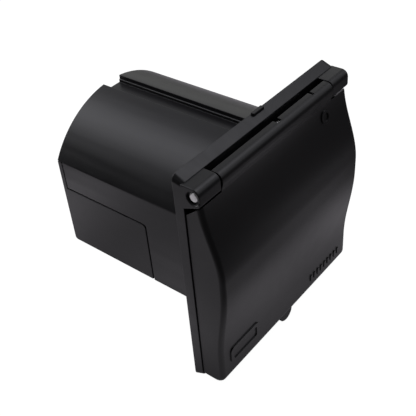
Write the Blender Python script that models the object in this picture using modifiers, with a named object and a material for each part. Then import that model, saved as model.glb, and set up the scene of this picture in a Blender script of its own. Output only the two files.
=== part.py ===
"""Flush-mounted trailer power inlet with a spring-loaded lid.

Frame: origin on the flange's rear face, on its centre line and midway between
the box's underside and the flange's lower edge. +X points to the right seen
from outside, +Y into the vehicle wall and +Z up. Lengths below are in
millimetres, with heights taken from the middle of the flange; the last step
lifts everything by RAISE into the frame.
"""

import math

import bmesh
import bpy
from mathutils import Matrix, Vector

MM = 0.001
GAP = 0.3                      # gap between neighbouring pieces
FAR = 60.0                     # beyond the pieces, for cutters that run clean through
SHARP_ANGLE = 35               # degrees; steeper edges are shaded sharp
SIDES = (("left", -1), ("right", 1))
CORNERS = ((-1, -1), (1, -1), (-1, 1), (1, 1))

# ---- flange and box ------------------------------------------------------
FLANGE_W, FLANGE_H, FLANGE_T = 106.0, 114.0, 4.6
FLANGE_CORNER = 2.8
RIM_Y, RIM_Z, RIM_LIP_Z = -4.95, 54.6, 53.0
MOUNT_X, MOUNT_TOP_Z, MOUNT_LOW_Z = 47.0, 33.0, -47.0
BOX_HALF = 40.8                # half width of the box
BOX_BOTTOM = -23.0
BOX_DEPTH = 83.9
WALL = 2.2
INNER_HALF, INNER_BOTTOM = BOX_HALF - WALL, BOX_BOTTOM + WALL
ARC_R, ARC_Z = 47.6, -0.2      # round top of the box
GROOVE_HALF, GROOVE_FLOOR = 5.25, 43.6
MOUTH_R = 41.4                 # round top of the flange's opening
BULKHEAD_Y, BULKHEAD_T = 28.6, 2.3
RAISE = (FLANGE_H / 2 - BOX_BOTTOM) / 2   # flange's middle above the frame's origin

# ---- hinge ---------------------------------------------------------------
HINGE_Y, HINGE_Z = -9.6, 50.0
HINGE_CENTRE = (0, HINGE_Y, HINGE_Z)
PIN_R, PIN_BORE = 2.1, 2.18
PIN_X0, PIN_X1 = -52.6, 51.0
KNUCKLE_IN, KNUCKLE_OUT = 40.0, 53.0
KNUCKLE_R, KNUCKLE_ARC_Z = 3.2, 51.1
KNUCKLE_TOP, KNUCKLE_REAR = KNUCKLE_ARC_Z + KNUCKLE_R, -4.0
EYE_R = 3.6
COIL_R, WIRE_R, COIL_TURNS = 2.56, 0.35, 11
COIL_EXTRA = 105               # degrees wound on after the whole turns
COIL_POINTS = 14               # path points per turn
COIL_X0, COIL_X1 = 1.7, 27.6
POCKET_X0, POCKET_X1, POCKET_R = 0.4, 29.2, 3.1
RELIEF_X0, RELIEF_X1, RELIEF_R = -31.0, -6.0, 2.7

# ---- lid -----------------------------------------------------------------
LID_HALF, LID_BOTTOM, LID_REAR = 52.45, -53.8, -(FLANGE_T + GAP)
LID_SKIN, LID_CORNER, LID_SIDE_BEVEL = 2.2, 5.0, 2.0
# Waved front: (z, y) from the top down, eased between stations, straight below the last.
LID_WAVE = [(50.0, -12.0), (10.0, -20.25), (4.0, -20.25), (-38.0, -16.1)]
# Top edge beside the barrel: (y, z).
LID_SHOULDER = [(LID_REAR, 40.0), (-10.6, 44.6), (-13.0, 46.1)]
BARREL_HALF = KNUCKLE_IN - 0.5
BARREL_ARC_Y, BARREL_ARC_Z, BARREL_ARC_R = -9.8, 50.6, 3.4
TAB_HALF, TAB_Y0, TAB_Y1, TAB_LOW = 4.9, -14.6, -12.2, -57.9
SEAL_T, RIB_GAP = 2.0, 2.3     # seal thickness; the rib's end in front of the lid's rear

# ---- rear cover ----------------------------------------------------------
COVER_FRONT, COVER_TOP, COVER_GAP = 31.9, 9.25, 0.85
COVER_R, FLAP_ROOM_R = 1.5, 1.8
PLATE_Y0, PLATE_TOP = 81.3, 24.3
HOUSING_END = PLATE_Y0 - 0.6   # rear end of the housing in front of the back plate
COVER_SCREW_X, COVER_SCREW_Z = 35.0, 17.0

# ---- contacts (16 A, two poles and earth) --------------------------------
CORE_Z = 8.0                   # height of the contact carrier's axis
COLLAR_OUT, COLLAR_IN, COLLAR_CHAMFER = 24.75, 21.75, 0.6
COLLAR_FRONT, BASE_FRONT, PLATE_FRONT, CARRIER_BACK = -9.0, 18.0, 24.9, 27.4
BOSS_R, BOSS_BACK = 18.4, 38.0
BOSS_HOLE_R = BOSS_R + 0.6
PLATE_HALF_X, PLATE_HALF_Z, PLATE_CORNER = 27.5, 26.0, 4.0
SCREW_X, SCREW_Z, SCREW_HOLE_R = 23.0, 21.5, 2.1
CONTACTS = {                   # name: (x, z, pin radius)
    "line": (-9.5, CORE_Z + 5.5, 2.5),
    "neutral": (9.5, CORE_Z + 5.5, 2.5),
    "earth": (0.0, CORE_Z - 11.0, 3.0),
}
TIP_Y, BARREL_Y0, BARREL_Y1, BARREL_R = -2.0, 38.3, 52.0, 4.3
TERMINAL_Y = 47.0
CABLE_Z, CABLE_R = -9.0, 5.0
CLAMP_X, CLAMP_Y = 13.0, 68.0
CLAMP_BAR_HALF_X, CLAMP_BAR_HALF_Y = 17.0, 3.0

for old in list(bpy.data.objects):
    bpy.data.objects.remove(old, do_unlink=True)
scene = bpy.context.scene
PARTS = bpy.data.collections.new("trailer_power_inlet")
CUTTERS = bpy.data.collections.new("cutters")
scene.collection.children.link(PARTS)
scene.collection.children.link(CUTTERS)


# ==== materials ============================================================
def material(name, color, roughness, metallic=0.0):
    mat = bpy.data.materials.new(name)
    mat.use_nodes = True
    shader = mat.node_tree.nodes["Principled BSDF"]
    shader.inputs["Base Color"].default_value = (*color, 1.0)
    shader.inputs["Roughness"].default_value = roughness
    shader.inputs["Metallic"].default_value = metallic
    return mat


PLASTIC = material("black_plastic", color=(0.012, 0.012, 0.013), roughness=0.42)
INSERT = material("grey_insert_plastic", color=(0.05, 0.05, 0.055), roughness=0.5)
RUBBER = material("black_rubber", color=(0.02, 0.02, 0.02), roughness=0.8)
STEEL = material("zinc_steel", color=(0.62, 0.62, 0.6), roughness=0.35, metallic=1.0)
BRASS = material("nickel_brass", color=(0.72, 0.66, 0.5), roughness=0.3, metallic=1.0)


# ==== solids ===============================================================
def add(name, mesh, part):
    """Object for a mesh: a part, or a helper that stays out of the model."""
    obj = bpy.data.objects.new(name, mesh)
    (PARTS if part else CUTTERS).objects.link(obj)
    if not part:
        obj.hide_render = True
        obj.display_type = "WIRE"
    return obj


def add_shape(name, shape, part=False):
    """Object for a bmesh, which is freed."""
    mesh = bpy.data.meshes.new(name)
    shape.to_mesh(mesh)
    shape.free()
    return add(name, mesh, part)


def curve_shape(curve, paths, cyclic):
    """Bmesh of a curve run through paths of (x, y, z)."""
    for path in paths:
        spline = curve.splines.new("POLY")
        spline.points.add(len(path) - 1)
        for point, (x, y, z) in zip(spline.points, path):
            point.co = (x * MM, y * MM, z * MM, 1)
        spline.use_cyclic_u = cyclic
    guide = bpy.data.objects.new(curve.name + "_guide", curve)
    scene.collection.objects.link(guide)
    bpy.context.view_layer.update()
    graph = bpy.context.evaluated_depsgraph_get()
    mesh = bpy.data.meshes.new_from_object(guide.evaluated_get(graph))
    bpy.data.objects.remove(guide, do_unlink=True)
    shape = bmesh.new()
    shape.from_mesh(mesh)
    bpy.data.meshes.remove(mesh)
    bmesh.ops.remove_doubles(shape, verts=shape.verts, dist=1e-6)
    return shape


def prism(name, outline, axis, lo, hi, holes=(), part=False):
    """Outline extruded along X, points (y, z), or along Y, points (x, z)."""
    curve = bpy.data.curves.new(name, "CURVE")
    curve.dimensions = "2D"
    curve.fill_mode = "BOTH"
    curve.extrude = abs(hi - lo) / 2 * MM
    paths = [[(a, b, 0) for a, b in loop] for loop in (outline, *holes)]
    shape = curve_shape(curve, paths, cyclic=True)
    bmesh.ops.dissolve_limit(shape, angle_limit=0.002, verts=shape.verts, edges=shape.edges)
    mid = (lo + hi) / 2 * MM
    if axis == "X":
        turn = Matrix(((0, 0, 1, mid), (1, 0, 0, 0), (0, 1, 0, 0), (0, 0, 0, 1)))
    else:
        turn = Matrix(((1, 0, 0, 0), (0, 0, -1, mid), (0, 1, 0, 0), (0, 0, 0, 1)))
    bmesh.ops.transform(shape, matrix=turn, verts=shape.verts)
    bmesh.ops.recalc_face_normals(shape, faces=shape.faces)
    return add_shape(name, shape, part)


def box(name, lo, hi):
    """Helper block between two corners."""
    shape = bmesh.new()
    bmesh.ops.create_cube(shape, size=1.0)
    size = Vector([(b - a) * MM for a, b in zip(lo, hi)])
    mid = Vector([(a + b) / 2 * MM for a, b in zip(lo, hi)])
    bmesh.ops.scale(shape, vec=size, verts=shape.verts)
    bmesh.ops.translate(shape, vec=mid, verts=shape.verts)
    return add_shape(name, shape)


def turned(name, profile, axis, centre, steps, closed=False, part=False):
    """Profile of (radius, distance along the axis), turned round the axis."""
    mesh = bpy.data.meshes.new(name)
    verts = [(radius * MM, 0, along * MM) for radius, along in profile]
    edges = [(i, i + 1) for i in range(len(verts) - 1)]
    if closed:
        edges.append((len(verts) - 1, 0))
    mesh.from_pydata(verts, edges, [])
    obj = add(name, mesh, part)
    screw_mod = obj.modifiers.new("turn", "SCREW")
    screw_mod.axis = "Z"
    screw_mod.steps = screw_mod.render_steps = steps
    screw_mod.use_merge_vertices = True
    screw_mod.merge_threshold = 0.00001
    turn = {"X": Matrix.Rotation(math.pi / 2, 4, "Y"),
            "Y": Matrix.Rotation(-math.pi / 2, 4, "X"),
            "Z": Matrix.Identity(4)}[axis]
    obj.matrix_world = Matrix.Translation(Vector(centre) * MM) @ turn
    return obj


def rod(name, radius, axis, centre, lo, hi, steps):
    """Helper cylinder."""
    return turned(name, [(0, hi), (radius, hi), (radius, lo), (0, lo)], axis, centre, steps)


def combine(obj, other, operation, prefix):
    mod = obj.modifiers.new(prefix + other.name, "BOOLEAN")
    mod.operation = operation
    mod.solver = "EXACT"
    mod.object = other


def cut(obj, cutter):
    combine(obj, cutter, "DIFFERENCE", "cut_")


def join(obj, other):
    combine(obj, other, "UNION", "join_")


def round_edges(obj, width, segments, chosen):
    """Bevel the mesh edges whose two ends the function `chosen` accepts."""
    shape = bmesh.new()
    shape.from_mesh(obj.data)
    edges = [e for e in shape.edges if chosen(e.verts[0].co / MM, e.verts[1].co / MM)]
    bmesh.ops.bevel(shape, geom=edges, offset=width * MM, segments=segments, profile=0.5,
                    affect="EDGES")
    shape.to_mesh(obj.data)
    shape.free()


def finish(obj, mat):
    obj.data.materials.append(mat)
    obj.data.shade_smooth()
    obj.data.set_sharp_from_angle(angle=math.radians(SHARP_ANGLE))


def screw(name, axis, centre, seat, head_r, head_t, shank_r, tip, sign):
    """Pan-head screw: head from `seat` towards `sign`, shank to `tip`."""
    face = seat + sign * head_t
    profile = [(0, face), (head_r * 0.8, face), (head_r, face - sign * head_t * 0.4),
               (head_r, seat), (shank_r, seat), (shank_r, tip + sign * 0.7),
               (shank_r * 0.5, tip), (0, tip)]
    if sign < 0:
        profile.reverse()
    obj = turned(name, profile, axis, centre, 20, part=True)
    # slot across the head
    lo = [c - 4 for c in centre]
    hi = [c + 4 for c in centre]
    along = "XYZ".index(axis)
    lo[along], hi[along] = sorted((face - sign * head_t * 0.45, face + sign * 1.0))
    thin = (along + 1) % 3
    lo[thin], hi[thin] = centre[thin] - 0.35, centre[thin] + 0.35
    cut(obj, box(name + "_slot", lo, hi))
    finish(obj, STEEL)


# ==== outlines =============================================================
def arc(centre_a, centre_b, radius, start, stop, steps):
    """Points along an arc, both ends included; angles in degrees."""
    angles = [math.radians(start + (stop - start) * i / steps) for i in range(steps + 1)]
    return [(centre_a + radius * math.cos(a), centre_b + radius * math.sin(a)) for a in angles]


def circle(centre_x, centre_z, radius, steps):
    angles = [2 * math.pi * i / steps for i in range(steps)]
    return [(centre_x + radius * math.cos(a), centre_z + radius * math.sin(a)) for a in angles]


def round_top_outline(half, bottom, radius, steps=24):
    """Flat bottom and sides under a round top, in (x, z)."""
    points = [(-half, bottom), (half, bottom)]
    edge = math.asin(half / radius)
    for i in range(steps + 1):
        x = radius * math.sin(edge - 2 * edge * i / steps)
        points.append((x, ARC_Z + math.sqrt(radius * radius - x * x)))
    return points


def grooved_outline(half, bottom, radius, groove_half, groove_floor, steps=12):
    """The same with a groove along the crown and `steps` on each side of it."""
    edge = math.asin(half / radius)
    stop = math.asin(groove_half / radius)
    angles = [edge + (stop - edge) * i / steps for i in range(steps + 1)]
    right = [(radius * math.sin(a), ARC_Z + radius * math.cos(a)) for a in angles]
    left = [(-x, z) for x, z in reversed(right)]
    return [(-half, bottom), (half, bottom), *right,
            (groove_half, groove_floor), (-groove_half, groove_floor), *left]


def lid_front(z):
    """y of the lid's waved front at a height."""
    for (top_z, top_y), (low_z, low_y) in zip(LID_WAVE, LID_WAVE[1:]):
        if z >= low_z:
            blend = (1 - math.cos(math.pi * (top_z - z) / (top_z - low_z))) / 2
            return top_y + (low_y - top_y) * blend
    return LID_WAVE[-1][1]


def lid_outline(skin, rear, side_top, steps=30):
    """Lid section in (y, z), set in by `skin`: rear edge, rounded bottom, waved front."""
    radius = LID_CORNER - skin
    base = LID_BOTTOM + skin
    corner_z = base + radius
    face = lid_front(corner_z) + skin
    points = [(rear, base)] + arc(face + radius, corner_z, radius, -90, -180, 5)
    for i in range(1, steps + 1):
        z = corner_z + (side_top - base - radius) * i / steps
        points.append((lid_front(z) + skin, z))
    return points


def trough_outline(radius, first=60):
    """Trough round the front of the hinge axis, open towards the wall, in (y, z)."""
    mouth_y = -4.0
    reach = radius * math.sin(math.radians(first))
    return [(mouth_y, HINGE_Z + reach),
            *arc(HINGE_Y, HINGE_Z, radius, first, 360 - first, 12),
            (mouth_y, HINGE_Z - reach - 0.25)]


SEAL_OUTER = round_top_outline(BOX_HALF + 1.4, BOX_BOTTOM - 1.4, ARC_R - 2.0)
SEAL_INNER = round_top_outline(BOX_HALF - 0.6, BOX_BOTTOM + 0.6, ARC_R - 4.0)
CARRIER_PLATE = [
    point
    for side_x, side_z, start in ((1, 1, 0), (-1, 1, 90), (-1, -1, 180), (1, -1, 270))
    for point in arc(side_x * (PLATE_HALF_X - PLATE_CORNER),
                     CORE_Z + side_z * (PLATE_HALF_Z - PLATE_CORNER),
                     PLATE_CORNER, start, start + 90, 4)
]


# ==== housing: flange, box, bulkhead and hinge knuckles ====================
def flange_block():
    half_w, half_h = FLANGE_W / 2, FLANGE_H / 2
    flange = prism("flange_block", [
        (0, half_h), (RIM_Y, RIM_Z), (RIM_Y, RIM_LIP_Z), (-FLANGE_T, RIM_LIP_Z - 0.8),
        (-FLANGE_T, -RIM_Z), (0, -half_h)], "X", -half_w, half_w)

    def at_corner(a, b):
        return (abs(abs(a.x) - half_w) < 0.01 and abs(a.x - b.x) < 0.01
                and abs(a.y - b.y) > 3 and abs(a.z) > 50 and a.z * b.z > 0)

    round_edges(flange, FLANGE_CORNER, 4, at_corner)
    return flange


def add_housing_outside(housing):
    join(housing, flange_block())
    knuckle = [(KNUCKLE_REAR, 43.0), (-4.7, 43.2), (-12.1, 46.3), (HINGE_Y - KNUCKLE_R, 47.4),
               *arc(HINGE_Y, KNUCKLE_ARC_Z, KNUCKLE_R, 180, 90, 5),
               (-5.6, KNUCKLE_TOP), (KNUCKLE_REAR, KNUCKLE_TOP)]
    for tag, side in SIDES:
        x0, x1 = sorted((side * KNUCKLE_IN, side * KNUCKLE_OUT))
        join(housing, prism("knuckle_" + tag, knuckle, "X", x0, x1))
    # ridge across the box's underside
    bead = [(23.0, -22.0), (23.0, -23.3), (28.5, -24.1), (31.2, -24.1), (31.2, -22.0)]
    join(housing, prism("stop_bead", bead, "X", -40.0, 40.0))
    join(housing, box("top_nub", (-3.3, -1.8, 55.5), (3.8, -0.02, 57.6)))


def cut_housing_rooms(housing):
    mouth = round_top_outline(INNER_HALF, INNER_BOTTOM, MOUTH_R)
    inner = grooved_outline(INNER_HALF, INNER_BOTTOM, ARC_R - WALL,
                            GROOVE_HALF + 2.0, GROOVE_FLOOR - WALL)
    cut(housing, prism("mouth", mouth, "Y", -12.0, 2.0))
    cut(housing, prism("front_room", inner, "Y", 1.0, BULKHEAD_Y))
    cut(housing, prism("rear_room", inner, "Y", BULKHEAD_Y + BULKHEAD_T, BOX_DEPTH - 2.4))
    # room for the rear cover's flaps and back plate
    room_front, room_top = COVER_FRONT - COVER_GAP, COVER_TOP + COVER_GAP
    flap_room = [(room_front, -40.0), (2 * FAR, -40.0), (2 * FAR, room_top),
                 *arc(room_front + FLAP_ROOM_R, room_top - FLAP_ROOM_R, FLAP_ROOM_R, 90, 180, 4)]
    cut(housing, prism("flap_room", flap_room, "X", -FAR, FAR))
    cut(housing, box("plate_room", (-FAR, HOUSING_END, -FAR), (FAR, 2 * FAR, PLATE_TOP + GAP)))


def cut_housing_holes(housing):
    for tag, side in SIDES:
        centre = (side * COVER_SCREW_X, 0, COVER_SCREW_Z)
        join(housing, rod("screw_boss_" + tag, 4.0, "Y", centre, 60.0, HOUSING_END, 20))
        cut(housing, rod("boss_bore_" + tag, 1.9, "Y", centre, 66.0, 90.0, 16))
    drill = (BULKHEAD_Y - 4, BULKHEAD_Y + 8)
    cut(housing, rod("bulkhead_hole", BOSS_HOLE_R, "Y", (0, 0, CORE_Z), *drill, 32))
    countersunk = [(0, 4.0), (2.2, 4.0), (2.2, -2.4), (4.4, -FLANGE_T), (4.4, -9.0), (0, -9.0)]
    for i, (side_x, side_z) in enumerate(CORNERS):
        centre = (side_x * SCREW_X, 0, CORE_Z + side_z * SCREW_Z)
        cut(housing, rod("bulkhead_screw_hole_%d" % i, SCREW_HOLE_R, "Y", centre, *drill, 16))
        centre = (side_x * MOUNT_X, 0, MOUNT_TOP_Z if side_z > 0 else MOUNT_LOW_Z)
        cut(housing, turned("mounting_hole_%d" % i, countersunk, "Y", centre, 20))
    # the bore runs out on the left, in a wider recess, and ends blind on the right
    cut(housing, rod("pin_bore_left", PIN_BORE, "X", HINGE_CENTRE, -FAR, -30.0, 32))
    cut(housing, rod("pin_bore_right", PIN_BORE, "X", HINGE_CENTRE, 30.0, PIN_X1 + GAP, 32))
    cut(housing, rod("pin_head_recess", 3.15, "X", HINGE_CENTRE, -FAR, -KNUCKLE_OUT + 1.0, 28))


def build_housing():
    outline = grooved_outline(BOX_HALF, BOX_BOTTOM, ARC_R, GROOVE_HALF, GROOVE_FLOOR)
    housing = prism("housing", outline, "Y", -1.0, BOX_DEPTH, part=True)
    add_housing_outside(housing)
    cut_housing_rooms(housing)
    cut_housing_holes(housing)
    finish(housing, PLASTIC)


# ==== lid and its seal =====================================================
def lid_block():
    outline = lid_outline(0.0, LID_REAR, 45.2)
    outline += [(-12.3, 46.4), (-12.75, 47.7), (-13.1, 49.0), (-13.2, 50.2)]
    outline += arc(BARREL_ARC_Y, BARREL_ARC_Z, BARREL_ARC_R, 170, 90, 5)
    outline += [(-8.1, 54.1), (-7.8, 53.8), (-7.8, 47.2), (LID_REAR, 47.2)]
    lid = prism("lid", outline, "X", -LID_HALF, LID_HALF, part=True)

    def at_side(a, b):
        """Edges of the end faces, but for the rear edge and the barrel."""
        on_rear = abs(a.y - LID_REAR) < 0.01 and abs(b.y - LID_REAR) < 0.01
        return (abs(abs(a.x) - LID_HALF) < 0.01 and abs(a.x - b.x) < 0.01
                and not on_rear and not (a.z > 46 and b.z > 46))

    round_edges(lid, LID_SIDE_BEVEL, 3, at_side)
    return lid


def lid_hollow():
    """Inside of the lid, less the seal's rib that is left standing in it."""
    outline = lid_outline(LID_SKIN, -1.0, 40.8) + [(-9.6, 40.6), (-4.0, 37.4), (-1.0, 37.0)]
    hollow = prism("lid_hollow", outline, "X", -LID_HALF + LID_SKIN, LID_HALF - LID_SKIN)
    head = [(-4.0, 36.0), (-4.0, 45.6), (-9.9, 45.6), (-11.0, 43.0), (-11.0, 36.0)]
    join(hollow, prism("lid_head_room", head, "X", -BARREL_HALF + 2.0, BARREL_HALF - 2.0))
    cut(hollow, prism("seal_rib", SEAL_OUTER, "Y", -40.0, LID_REAR - RIB_GAP,
                      holes=[SEAL_INNER]))
    return hollow


def build_lid():
    lid = lid_block()
    shoulder = [(0.0, 40.0), *LID_SHOULDER, (-30.0, 46.1), (-30.0, FAR), (0.0, FAR)]
    for tag, side in SIDES:
        x0, x1 = sorted((side * BARREL_HALF, side * FAR))
        cut(lid, prism("lid_shoulder_" + tag, shoulder, "X", x0, x1))
    cut(lid, prism("spring_pocket", trough_outline(POCKET_R), "X", POCKET_X0, POCKET_X1))
    cut(lid, box("spring_window", (0.8, -10.3, 51.6), (3.9, -7.0, 56.0)))
    cut(lid, prism("pin_relief", trough_outline(RELIEF_R), "X", RELIEF_X0, RELIEF_X1))
    for tag, x0, x1 in (("left", -BARREL_HALF + 0.2, RELIEF_X0 - 0.2),
                        ("mid", RELIEF_X1 + 0.2, POCKET_X0 - 0.2),
                        ("right", POCKET_X1 + 0.2, BARREL_HALF - 0.2)):
        join(lid, rod("hinge_eye_" + tag, EYE_R, "X", HINGE_CENTRE, x0, x1, 32))
    tab = [(-TAB_HALF, -50.0), *arc(0, TAB_LOW + TAB_HALF, TAB_HALF, 180, 360, 12),
           (TAB_HALF, -50.0)]
    join(lid, prism("finger_tab", tab, "Y", TAB_Y0, TAB_Y1))
    cut(lid, lid_hollow())
    cut(lid, rod("lid_pin_bore", PIN_BORE, "X", HINGE_CENTRE, -FAR, FAR, 32))
    finish(lid, PLASTIC)
    return lid


def build_lid_seal():
    seal = prism("lid_seal", SEAL_OUTER, "Y", LID_REAR - SEAL_T, LID_REAR,
                 holes=[SEAL_INNER], part=True)
    finish(seal, RUBBER)
    return seal


# ==== hinge pin and torsion spring =========================================
def build_hinge_pin():
    end_r, chamfer = 1.7, 0.4
    profile = [(0, PIN_X1), (end_r, PIN_X1), (PIN_R, PIN_X1 - chamfer),
               (PIN_R, PIN_X0 + chamfer), (end_r, PIN_X0), (0, PIN_X0)]
    finish(turned("hinge_pin", profile, "X", HINGE_CENTRE, 32, part=True), STEEL)


def build_torsion_spring():
    """Wire wound round the hinge axis, one leg towards the lid and one towards the flange."""
    total = 2 * math.pi * COIL_TURNS + math.radians(COIL_EXTRA)
    count = int(COIL_POINTS * total / (2 * math.pi))
    path = [(COIL_X0, HINGE_Y - COIL_R, HINGE_Z - 0.6)]
    for i in range(count + 1):
        wound = i / count
        angle = math.pi - total * wound
        path.append((COIL_X0 + (COIL_X1 - COIL_X0) * wound,
                     HINGE_Y + COIL_R * math.cos(angle), HINGE_Z + COIL_R * math.sin(angle)))
    end_x, _, end_z = path[-1]
    path.append((end_x, -5.35, end_z - 0.9))
    curve = bpy.data.curves.new("torsion_spring", "CURVE")
    curve.dimensions = "3D"
    curve.bevel_depth = WIRE_R * MM
    curve.bevel_resolution = 1
    curve.use_fill_caps = True
    shape = curve_shape(curve, [path], cyclic=False)
    bmesh.ops.recalc_face_normals(shape, faces=shape.faces)
    finish(add_shape("torsion_spring", shape, part=True), STEEL)


# ==== rear cover, cable grommet and clamp ==================================
def build_rear_cover():
    """Back plate and flaps, with the cable clamp's posts and saddle."""
    tray = [(COVER_FRONT, BOX_BOTTOM), (BOX_DEPTH - COVER_R, BOX_BOTTOM),
            (BOX_DEPTH - 0.44, BOX_BOTTOM + 0.44), (BOX_DEPTH, BOX_BOTTOM + COVER_R),
            (BOX_DEPTH, PLATE_TOP), (PLATE_Y0, PLATE_TOP), (PLATE_Y0, COVER_TOP),
            *arc(COVER_FRONT + COVER_R, COVER_TOP - COVER_R, COVER_R, 90, 180, 4)]
    cover = prism("rear_cover", tray, "X", -BOX_HALF, BOX_HALF, part=True)
    cut(cover, box("tray_room", (-INNER_HALF, 0, INNER_BOTTOM), (INNER_HALF, PLATE_Y0, FAR)))
    counterbored = [(0, 90), (3.3, 90), (3.3, 82.4), (1.9, 82.4), (1.9, 70), (0, 70)]
    root = BOX_BOTTOM + 1.0    # posts and saddle start inside the floor
    for tag, side in SIDES:
        cut(cover, turned("cover_screw_hole_" + tag, counterbored, "Y",
                          (side * COVER_SCREW_X, 0, COVER_SCREW_Z), 20))
        post = (side * CLAMP_X, CLAMP_Y, 0)
        join(cover, rod("clamp_post_" + tag, 3.6, "Z", post, root, -4.3, 20))
        cut(cover, rod("clamp_post_bore_" + tag, 1.7, "Z", post, -16.0, 0.0, 16))
    join(cover, box("cable_saddle", (-7, CLAMP_Y - 2.5, root),
                    (7, CLAMP_Y + 2.5, CABLE_Z - CABLE_R - GAP)))
    cut(cover, rod("grommet_hole", 7.5, "Y", (0, 0, CABLE_Z), 70, 100, 28))
    finish(cover, PLASTIC)


def build_cable_grommet():
    profile = [(9.4, 85.4), (9.6, 85.2), (9.6, 84.2), (7.2, 84.2), (7.2, 81.0), (9.6, 81.0),
               (9.6, 79.6), (9.0, 79.0), (CABLE_R, 79.0), (CABLE_R, 85.4)]
    finish(turned("cable_grommet", profile, "Y", (0, 0, CABLE_Z), 28, closed=True, part=True),
           RUBBER)


def build_clamp_bar():
    half = CLAMP_BAR_HALF_X
    # (x, z), with a hollow in the middle of the underside
    outline = [(-half, -4.0), (-5.0, -4.0), (-3.0, -3.1), (0, -2.7), (3.0, -3.1), (5.0, -4.0),
               (half, -4.0), (half, -0.6), (half - 0.6, 0), (0.6 - half, 0), (-half, -0.6)]
    bar = prism("clamp_bar", outline, "Y",
                CLAMP_Y - CLAMP_BAR_HALF_Y, CLAMP_Y + CLAMP_BAR_HALF_Y, part=True)
    for tag, side in SIDES:
        cut(bar, rod("clamp_bar_hole_" + tag, 1.75, "Z", (side * CLAMP_X, CLAMP_Y, 0), -10, 5, 16))
    finish(bar, INSERT)


def build_cover_screws():
    for number, (_, side) in enumerate(SIDES, start=1):
        screw("clamp_screw_%d" % number, "Z", (side * CLAMP_X, CLAMP_Y, 0), seat=GAP,
              head_r=3.0, head_t=2.2, shank_r=1.4, tip=-13.0, sign=1)
        screw("cover_screw_%d" % number, "Y", (side * COVER_SCREW_X, 0, COVER_SCREW_Z),
              seat=82.4 + GAP, head_r=3.0, head_t=1.1, shank_r=1.6, tip=69.0, sign=1)


# ==== contact carrier, gasket and their screws =============================
def build_contact_carrier():
    chamfer, disc_back = COLLAR_CHAMFER, CARRIER_BACK - 1.0
    profile = [(0, BOSS_BACK), (BOSS_R, BOSS_BACK), (BOSS_R, disc_back), (COLLAR_OUT, disc_back),
               (COLLAR_OUT, COLLAR_FRONT + chamfer), (COLLAR_OUT - chamfer, COLLAR_FRONT),
               (COLLAR_IN + chamfer, COLLAR_FRONT), (COLLAR_IN, COLLAR_FRONT + chamfer),
               (COLLAR_IN, BASE_FRONT), (0, BASE_FRONT)]
    carrier = turned("contact_carrier", profile, "Y", (0, 0, CORE_Z), 36, part=True)
    join(carrier, prism("carrier_plate", CARRIER_PLATE, "Y", PLATE_FRONT, CARRIER_BACK))
    # slot through the bottom of the collar
    cut(carrier, box("key_slot", (-2.4, -12.0, CORE_Z - 28.0), (2.4, 9.0, CORE_Z - 20.0)))
    for name, (x, z, radius) in CONTACTS.items():
        cut(carrier, rod(name + "_pin_hole", radius + GAP, "Y", (x, 0, z), 0.0, 60.0, 20))
    gasket_holes = [circle(0, CORE_Z, BOSS_HOLE_R, 32)]
    for i, (side_x, side_z) in enumerate(CORNERS):
        x, z = side_x * SCREW_X, CORE_Z + side_z * SCREW_Z
        cut(carrier, rod("carrier_screw_hole_%d" % i, SCREW_HOLE_R, "Y", (x, 0, z),
                         20.0, 40.0, 16))
        gasket_holes.append(circle(x, z, SCREW_HOLE_R + 0.1, 16))
        screw("carrier_screw_%d" % (i + 1), "Y", (x, 0, z), seat=PLATE_FRONT - GAP,
              head_r=3.2, head_t=2.3, shank_r=1.75, tip=35.0, sign=-1)
    finish(carrier, INSERT)
    gasket = prism("carrier_gasket", CARRIER_PLATE, "Y", CARRIER_BACK + GAP, BULKHEAD_Y - GAP,
                   holes=gasket_holes, part=True)
    finish(gasket, RUBBER)


def build_contact(name, x, z, radius):
    """Contact pin with its terminal barrel and the screw in the barrel's underside."""
    profile = [(0, BARREL_Y1), (BARREL_R - 0.5, BARREL_Y1), (BARREL_R, BARREL_Y1 - 0.5),
               (BARREL_R, BARREL_Y0), (radius, BARREL_Y0), (radius, TIP_Y + 1.6),
               (radius * 0.75, TIP_Y + 0.4), (radius * 0.4, TIP_Y), (0, TIP_Y)]
    pin = turned(name + "_pin", profile, "Y", (x, 0, z), 24, part=True)
    cut(pin, rod(name + "_pin_wire_bore", 1.9, "Y", (x, 0, z), 42.0, 60.0, 16))
    cut(pin, rod(name + "_pin_screw_bore", 1.8, "Z", (x, TERMINAL_Y, z), -8.0, 0.0, 16))
    finish(pin, BRASS)
    screw(name + "_terminal_screw", "Z", (x, TERMINAL_Y, z), seat=-BARREL_R - 0.4,
          head_r=2.4, head_t=1.8, shank_r=1.5, tip=-2.2, sign=-1)


# ==== assembly =============================================================
def hang_on_hinge(pieces):
    """Parent the lid's pieces to an empty on the hinge axis."""
    hinge = bpy.data.objects.new("lid_hinge_axis", None)
    hinge.location = (0, HINGE_Y * MM, HINGE_Z * MM)
    PARTS.objects.link(hinge)
    for obj in pieces:
        obj.parent = hinge
        obj.location = -hinge.location


def lift_into_frame():
    """Raise all but the parented objects, which follow the hinge."""
    for obj in list(PARTS.objects) + list(CUTTERS.objects):
        if obj.parent is None:
            obj.location.z += RAISE * MM


build_housing()
lid_pieces = [build_lid(), build_lid_seal()]
build_hinge_pin()
build_torsion_spring()
build_rear_cover()
build_cable_grommet()
build_clamp_bar()
build_cover_screws()
build_contact_carrier()
for contact, (pin_x, pin_z, pin_r) in CONTACTS.items():
    build_contact(contact, pin_x, pin_z, pin_r)
hang_on_hinge(lid_pieces)
lift_into_frame()
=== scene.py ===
"""Flush-mounted power inlet: a flanged housing with a sprung lid and three contacts.

Lengths are millimetres, turned into metres by MM. +Y runs into the wall, so the front
faces -Y; +Z is up, and left is -X. Heights are taken from the middle of the flange,
and bake() lifts each piece by RAISE into the frame.
"""

import math
from contextlib import contextmanager

import bmesh
import bpy
from mathutils import Matrix, Vector


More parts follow.
